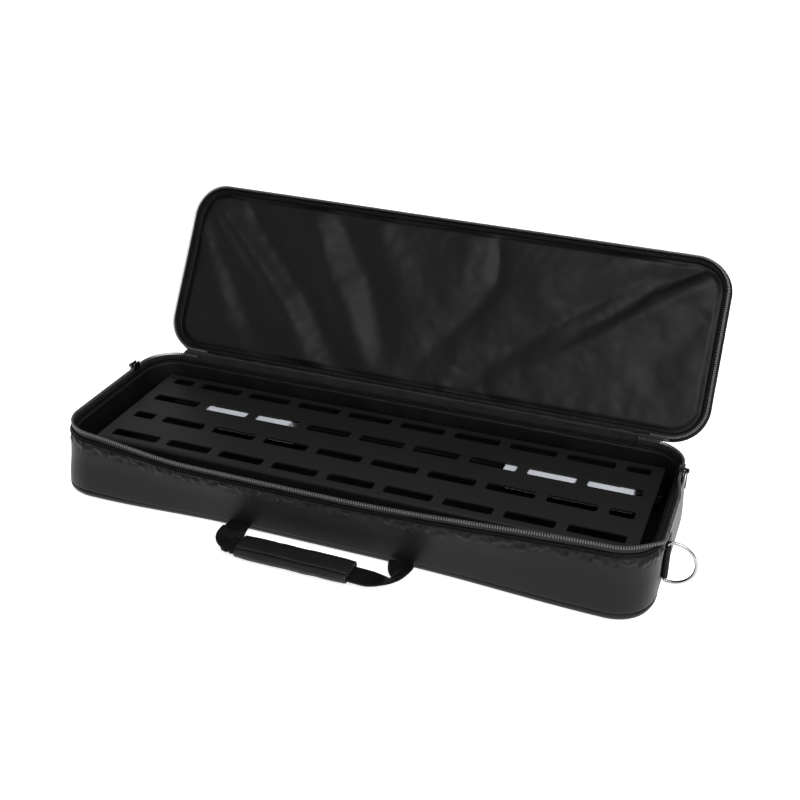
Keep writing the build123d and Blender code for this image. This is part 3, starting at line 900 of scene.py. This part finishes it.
def lid_lining():
    """Loose satin lining across the lid and up its low walls."""
    fold_lines = []
    for shares, width, height in lining_folds:
        line = smooth_path([Vector((sx * half_x, sy * half_y, 0)) for sx, sy in shares], 4)
        fold_lines.append(([place.xy for place in line], width, height))
    wall_in = inside_in + 0.0004
    inner = corner - wall_in
    bm = bmesh.new()
    bmesh.ops.create_grid(bm, x_segments=220, y_segments=72, size=0.5)
    width, length = 2 * (half_x - wall_in), 2 * (half_y - wall_in)
    bmesh.ops.scale(bm, vec=(width, length, 1), verts=bm.verts[:])
    for v in bm.verts:
        cx = max(inner - width / 2, min(width / 2 - inner, v.co.x))
        cy = max(inner - length / 2, min(length / 2 - inner, v.co.y))
        away = Vector((v.co.x - cx, v.co.y - cy, 0))
        if away.length > inner:
            away.length = inner
            v.co = Vector((cx, cy, 0)) + away
        from_edge = inner - away.length
        flat = smooth_step(0.0, 0.006, from_edge)
        rise = (lid_seam - 0.0006 - lining_depth - 0.0008) * (1 - smooth_step(0.0, 0.004, from_edge))
        cloth = max(0.0, 0.0062 + fold_height(v.co.x, v.co.y, fold_lines)) * flat
        v.co.z = lining_depth + 0.0008 + cloth + rise
        v.co += lid_soft(v.co)
    nodes = ["lid_panel_lining", "lid_wall_lining"]
    lining = make(bm, "lid_lining", satin_lining, "lid", "nylon_lining", nodes, lid_place, smooth=0)
    add_modifier(lining, "SOLIDIFY", thickness=0.0005, offset=0)
    add_modifier(lining, "SUBSURF", levels=1, render_levels=1)
    return lining


# ---------------------------------------------------------------- hinge fabric
def hinge_fabric():
    """One strip of webbing from the case's rim, over the cord, into the lid."""
    along = Vector((0, math.sin(lid_lean), math.cos(lid_lean)))
    inward = Vector((0, -math.cos(lid_lean), math.sin(lid_lean)))
    base_start = Vector((0, half_y - 0.0007, binding_top - 0.0008))
    base_top = Vector((0, half_y - 0.0004, rim - teeth_drop))
    fold = hinge + Vector((0, -0.0006, 0.0024))
    lid_start = hinge + along * 0.0012 - inward * (zipper_rise - 0.0020)
    lid_top = hinge + along * 0.0018 - inward * 0.0030
    line = [base_start, base_top, fold, lid_top, lid_start]
    path = smooth_path(line, 8)

    bm = bmesh.new()
    reach = hinge_half + 0.0215
    rows = 130
    bmesh.ops.create_grid(bm, x_segments=rows, y_segments=len(path) - 1, size=0.5)
    layer = bm.loops.layers.uv.verify()
    for v in bm.verts:
        step = round((v.co.y + 0.5) * (len(path) - 1))
        share = v.co.x * 2
        x = share * reach
        place = path[step]
        loose = math.sin(math.pi * step / (len(path) - 1))
        ripple = 0.0011 * loose * rough((x, step * 0.004, 0), 0.016, 3.0)
        lidward = step / (len(path) - 1)
        turn = -0.0012 * x / half_x * lidward
        v.co = Vector((x + 0.0105 * lidward, place.y + ripple * 0.4, place.z + ripple)) + along * turn
    for face in bm.faces:
        for loop in face.loops:
            loop[layer].uv = (loop.vert.co.x, loop.vert.co.y + loop.vert.co.z)
    nodes = ["hinge_panel_lower", "hinge_panel_upper", "hinge_cord"]
    fabric = make(bm, "hinge_fabric", zipper_cloth, None, "webbing", nodes, smooth=0)
    add_modifier(fabric, "SOLIDIFY", thickness=0.0008, offset=0)
    lengthwise = sum((b - a).length for a, b in zip(path, path[1:]))
    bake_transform(fabric)
    return fabric


# ---------------------------------------------------------------- handle
def strip(bm, path, sides, width, layer):
    """A flat strip swept along a path, its width along each side direction."""
    cuts = 8
    travelled = [0.0]
    for start, end in zip(path, path[1:]):
        travelled.append(travelled[-1] + (end - start).length)
    sheet = bmesh.ops.create_grid(bm, x_segments=len(path) - 1, y_segments=cuts, size=0.5)["verts"]
    spots = {}
    for v in sheet:
        step = round((v.co.x + 0.5) * (len(path) - 1))
        across = v.co.y
        spots[v] = (travelled[step], width * (across + 0.5))
        v.co = path[step] + sides[step] * (width * across)
    for face in {face for v in sheet for face in v.link_faces}:
        for loop in face.loops:
            loop[layer].uv = spots[loop.vert]


def smooth_path(points, resolution=12):
    """Points along one smooth curve whose control points are given."""
    curve = bpy.data.curves.new("route", "CURVE")
    curve.dimensions = "3D"
    spline = curve.splines.new("NURBS")
    spline.points.add(len(points) - 1)
    for point, place in zip(spline.points, points):
        point.co = (*place, 1)
    spline.order_u, spline.use_endpoint_u, spline.resolution_u = 3, True, resolution
    holder = bpy.data.objects.new("route", curve)
    path = [v.co.copy() for v in bpy.data.meshes.new_from_object(holder).vertices]
    bpy.data.objects.remove(holder)
    return path


def handle_strap():
    """Webbing from under the case, round into the grip, on both sides."""
    bm = bmesh.new()
    layer = bm.loops.layers.uv.verify()
    width = 0.026
    level_z = (grip_low.z + grip_high.z) / 2
    grip_y = (grip_low.y + grip_high.y) / 2
    anchors = (strap_low.x + 0.0135, strap_high.x - 0.0135)
    for side, anchor, grip_end, out in (
        (-1, anchors[0], grip_low.x, 0.2),
        (1, anchors[1], grip_high.x, 1),
    ):
        route = [
            Vector((anchor, strap_high.y + 0.0016, 0.0085)),
            Vector((anchor + 0.004 * out, strap_high.y - 0.014, 0.0095)),
            Vector((anchor + 0.010 * out, grip_y + 0.020, 0.0105)),
            Vector((anchor + 0.006 * out, grip_y + 0.002, 0.0100)),
            Vector((anchor - side * 0.014, grip_y - 0.003, 0.0095)),
            Vector((grip_end + side * 0.010, grip_y - 0.001, level_z)),
            Vector((grip_end - side * 0.030, grip_y, level_z)),
        ]
        path = smooth_path(route)
        sides = []
        for k in range(len(path)):
            share = k / (len(path) - 1)
            ahead = path[min(k + 1, len(path) - 1)] - path[max(k - 1, 0)]
            flat = ahead.cross(Vector((0, 0, 1))).normalized()
            tilt = math.radians(34) * math.sin(math.pi * min(1.0, share / 0.8)) ** 2
            up = flat.cross(ahead).normalized()
            sides.append((flat * math.cos(tilt) + up * math.sin(tilt) * -side).normalized())
        strip(bm, path, sides, width, layer)
    strap = make(bm, "handle_webbing", strap_webbing, "handle", "webbing", ["handle_strap"], smooth=0)
    add_modifier(strap, "SOLIDIFY", thickness=strap_cloth, offset=0)
    add_modifier(strap, "SUBSURF", levels=1, render_levels=1)


def grip_section(turn, inset=0.0):
    """A point on the grip's flattened section, by turns round it."""
    half_w = (grip_high.y - grip_low.y) / 2 - 0.001 - inset
    half_h = (grip_high.z - grip_low.z) / 2 - 0.0006 - inset
    angle = 2 * math.pi * turn
    power = 0.72
    c, s = math.cos(angle), math.sin(angle)
    return (
        half_w * math.copysign(abs(c) ** power, c),
        half_h * math.copysign(abs(s) ** power, s),
    )


def grip_wrap():
    """Hook-and-loop cover: one sheet rolled round the pad, its free edge on top."""
    grip_y = (grip_low.y + grip_high.y) / 2
    grip_z = (grip_low.z + grip_high.z) / 2
    thickness = 0.0017
    turns = 1.22
    section = []
    count = 64
    for k in range(count + 1):
        turn = 0.10 + turns * k / count
        inset = thickness * 0.5 + thickness * 1.05 * (1 - smooth_step(0.75, 0.98, turns * k / count))
        section.append(grip_section(turn, inset))
    bm = bmesh.new()
    bmesh.ops.create_grid(bm, x_segments=40, y_segments=count, size=0.5)
    for v in bm.verts:
        step = round((v.co.y + 0.5) * count)
        x = grip_low.x + (v.co.x + 0.5) * (grip_high.x - grip_low.x)
        y, z = section[step]
        place = Vector((x, grip_y + y, grip_z + z))
        end = smooth_step(0.38, 0.5, abs(v.co.x))
        squeeze = 1 - 0.05 * end
        place.y = grip_y + y * squeeze
        place.z = grip_z + z * squeeze
        free = smooth_step(0.93, 1.0, step / count)
        place.y += free * (0.0022 * rough(place, 0.030, 3.0) - 0.0008)
        place.z += free * 0.0007
        dent = 0.0011 * rough(place, 0.022, 6.0) + 0.0006 * rough(place, 0.009, 2.0)
        away = Vector((0, y, z)).normalized()
        place += away * min(0.0, dent)
        v.co = place
    wrap = make(bm, "grip_wrap", grip_cloth, "handle", "binding_fabric", ["grip_cover"], smooth=0)
    add_modifier(wrap, "SOLIDIFY", thickness=thickness, offset=0)
    add_modifier(wrap, "SUBSURF", levels=1, render_levels=1)

    bm = bmesh.new()
    count, inset = 40, 2 * thickness + 0.0004
    ring = bmesh.ops.create_circle(bm, segments=count, radius=1.0)["verts"]
    for k, v in enumerate(ring):
        y, z = grip_section(k / count, inset)
        v.co = Vector((grip_low.x + 0.001, grip_y + y, grip_z + z))
    edges = bm.edges[:]
    start = list(edges)
    length = grip_high.x - grip_low.x - 0.002
    rows = 12
    for _ in range(rows):
        made = bmesh.ops.extrude_edge_only(bm, edges=edges)["geom"]
        verts = {g for g in made if isinstance(g, bmesh.types.BMVert)}
        edges = [g for g in made if isinstance(g, bmesh.types.BMEdge) and set(g.verts) <= verts]
        bmesh.ops.translate(bm, vec=(length / rows, 0, 0), verts=list(verts))
    bmesh.ops.holes_fill(bm, edges=start + edges, sides=0)
    pad = make(bm, "grip_pad_core", foam_core, "handle", "foam", ["grip_pad"], smooth=0)


def stitch_row(bm, places, directions, length=0.0030, width=0.0007):
    """Thread stitches laid along a row of places."""
    for place, direction in zip(places, directions):
        turn = direction.to_track_quat("X", "Z").to_matrix().to_4x4()
        size = Matrix.Diagonal((length, width, width, 1))
        bmesh.ops.create_icosphere(
            bm, subdivisions=1, radius=0.5, matrix=Matrix.Translation(place) @ turn @ size
        )


def stitches():
    """Top stitching along the bindings of the case and the lid."""
    pitch = 0.0042
    for name, body, inset, height, soft, matrix in (
        ("case_rim_stitching", "case_base", 0.0042, binding_top + 0.0002, sag, None),
        ("lid_rim_stitching", "lid", 0.0058, lid_seam + binding_rise + 0.0002, lid_soft, lid_place),
    ):
        bm = bmesh.new()
        places, directions = [], []
        for k in range(int(outline_length() / pitch)):
            point, out = outline_point(k * pitch)
            spot = point - out * inset
            spot.z = height
            places.append(spot + soft(spot))
            directions.append(Vector((-out.y, out.x, 0)))
        stitch_row(bm, places, directions)
        make(bm, name, thread, body, "webbing", matrix=matrix, smooth=0)


# ---------------------------------------------------------------- ring tabs
def ring_tab(name):
    """Webbing folded round a ring's bar, its tail lying along the end wall."""
    low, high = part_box(f"d_ring_tab_{name}")
    ring_low, ring_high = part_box(f"d_ring_{name}")
    side = 1 if high.x > 0 else -1
    wall_x, radius, tab_cloth = side * half_x, 0.0028, 0.0010
    bar_x = side * (abs(high.x if side > 0 else low.x) - 0.0033)
    bar_y = (ring_low.y + ring_high.y) / 2
    tail = [
        (wall_x + side * 0.0017, high.y),
        (wall_x + side * 0.0018, bar_y + 0.012),
        (wall_x + side * 0.0024, bar_y + 0.0065),
    ]
    loop = []
    for turn in steps(-70, 185, 14):
        angle = math.radians(turn)
        loop.append((bar_x + side * radius * math.cos(angle), bar_y - radius * math.sin(angle)))
    under = [
        (wall_x + side * 0.0006, bar_y + 0.004),
        (wall_x + side * 0.0007, bar_y + 0.010),
        (wall_x + side * 0.0008, high.y - 0.0015),
    ]
    bm = bmesh.new()
    layer = bm.loops.layers.uv.verify()
    path = [Vector((x, y, (low.z + high.z) / 2)) for x, y in tail + loop + under]
    sides = [Vector((0, 0, 1))] * len(path)
    strip(bm, path, sides, high.z - low.z - 0.0012, layer)
    nodes = [f"d_ring_tab_{name}"]
    tab = make(bm, f"ring_tab_{name}", strap_webbing, "case_base", "webbing", nodes, smooth=0)
    add_modifier(tab, "SOLIDIFY", thickness=tab_cloth, offset=0)
    add_modifier(tab, "SUBSURF", levels=1, render_levels=1)
    thread_x = wall_x + side * 0.0026
    tab_stitching(name, thread_x, (bar_y + 0.010, high.y - 0.003), (low.z + 0.004, high.z - 0.004))


def tab_stitching(name, x, y_span, z_span):
    """A box of stitches with a cross in it, which holds a ring's tab to the wall."""
    bm = bmesh.new()
    places, directions = [], []
    inner_y, outer_y = y_span
    low_z, high_z = z_span
    for y in y_span:
        for z in steps(low_z, high_z, 8):
            places.append(Vector((x, y, z)))
            directions.append(Vector((0, 0, 1)))
    for z in z_span:
        for y in steps(inner_y, outer_y, 5):
            places.append(Vector((x, y, z)))
            directions.append(Vector((0, 1, 0)))
    across = 6
    for k in range(across):
        share = (k + 0.5) / across
        for flip in (1, -1):
            z = low_z + (high_z - low_z) * (share if flip > 0 else 1 - share)
            places.append(Vector((x, inner_y + (outer_y - inner_y) * share, z)))
            directions.append(Vector((0, outer_y - inner_y, flip * (high_z - low_z))).normalized())
    stitch_row(bm, places, directions, length=0.0026, width=0.0008)
    make(bm, f"ring_tab_stitching_{name}", thread, "case_base", "webbing", smooth=0)


# ---------------------------------------------------------------- carried-over CAD pieces
def carried_over():
    finishes = {
        powder_coat: ["deck"],
        bright_zinc: ["supply_tray_left", "supply_tray_right"],
        zinc_screw: ["foot_screws", "foot_nuts", "tray_studs", "tray_nuts"],
        foot_rubber: ["rubber_feet"],
        chrome_plate: ["d_ring_left", "d_ring_right"],
        dark_nickel: ["zipper_slider_left", "zipper_slider_right", "zipper_pull_left", "zipper_pull_right"],
        anchor_webbing: ["handle_anchors"],
    }
    for material, names in finishes.items():
        for name in names:
            node = frame["nodes"][name]
            if not node.material_slots:
                node.data.materials.append(material)
            for slot in node.material_slots:
                slot.material = material


# ---------------------------------------------------------------- floor, light and camera
# Each lamp: name, place, size and watts, and the place that it faces. Metres.
lamps = [
    ("overhead_softbox", (0.95, -0.95, 1.75), 1.9, 42, (0.15, -0.2, 0)),
    ("right_softbox", (2.0, -1.2, 1.1), 1.4, 14, (0, 0, 0.05)),
    ("backdrop_softbox", (-0.6, 4.6, 3.2), 3.5, 110, (-0.9, 5.0, 0)),
    ("front_fill", (1.2, -1.9, 1.0), 1.2, 14, (0.2, 0, 0.05)),
]
floor_reach = 80.0
floor_clearance = 0.0006  # under the case, so that the two never share a plane


def plain_material(name, colour, roughness):
    material, _, shader = blank_material(name)
    shader.inputs["Base Color"].default_value = (*colour, 1)
    shader.inputs["Roughness"].default_value = roughness
    return material


def studio():
    """White floor, bright surroundings and large soft lamps."""
    bm = bmesh.new()
    bmesh.ops.create_grid(bm, x_segments=1, y_segments=1, size=floor_reach)
    bmesh.ops.translate(bm, vec=(0, 0, -floor_clearance), verts=bm.verts[:])
    white = plain_material("studio_floor", (0.9, 0.9, 0.9), 0.6)
    glow = white.node_tree.nodes["Principled BSDF"]
    glow.inputs["Emission Color"].default_value = (1, 1, 1, 1)
    glow.inputs["Emission Strength"].default_value = 0.64
    floor = make(bm, "studio_floor", white, None, None, smooth=0)

    world = bpy.data.worlds.new("studio")
    bpy.context.scene.world = world
    world.use_nodes = True
    background = world.node_tree.nodes["Background"]
    background.inputs["Color"].default_value = (1, 1, 1, 1)
    background.inputs["Strength"].default_value = 0.45

    for name, place, size, power, target in lamps:
        lamp = bpy.data.lights.new(name, "AREA")
        lamp.size, lamp.energy = size, power
        holder = bpy.data.objects.new(name, lamp)
        bpy.context.collection.objects.link(holder)
        holder.location = place
        holder.visible_glossy = name == "overhead_softbox"
        holder.rotation_euler = (Vector(target) - Vector(place)).to_track_quat("-Z", "Y").to_euler()
    bpy.context.scene.view_settings.view_transform = "Standard"


def place_camera():
    """A normal lens a little over a metre away, in front and to the right."""
    azimuth, elevation = math.radians(21.29), math.radians(28.49)
    distance, aside, above = 1.2754, 0.0344, 0.1035  # back from, right of and over the origin
    raised = Vector((0, 0, 0.007))
    back = Vector((
        math.sin(azimuth) * math.cos(elevation),
        -math.cos(azimuth) * math.cos(elevation),
        math.sin(elevation),
    ))
    right = Vector((math.cos(azimuth), math.sin(azimuth), 0))
    up = back.cross(right)
    camera = bpy.data.cameras.new("camera")
    camera.lens, camera.sensor_width = 51.2, 36
    holder = bpy.data.objects.new("camera", camera)
    bpy.context.collection.objects.link(holder)
    holder.location = back * distance + right * aside + up * above + raised
    holder.rotation_euler = Matrix((right, up, back)).transposed().to_euler()
    bpy.context.scene.camera = holder


# ---------------------------------------------------------------- build everything
case_walls()
case_rim()
floor_layers()
case_nodes = ("base_zipper_tape", "base_zipper_teeth")
zipper_half("case", "case_base", binding_top - tuck, None, 1, case_nodes, case_zip)
lid_shell()
lid_rim()
lid_lining()
lid_nodes = ("lid_zipper_tape", "lid_zipper_teeth")
zipper_half("lid_edge", "lid", lid_seam + binding_rise - tuck, lid_place, -1, lid_nodes, lid_soft)
hinge_fabric()
handle_strap()
grip_wrap()
stitches()
for end in ("left", "right"):
    ring_tab(end)
carried_over()
studio()
place_camera()
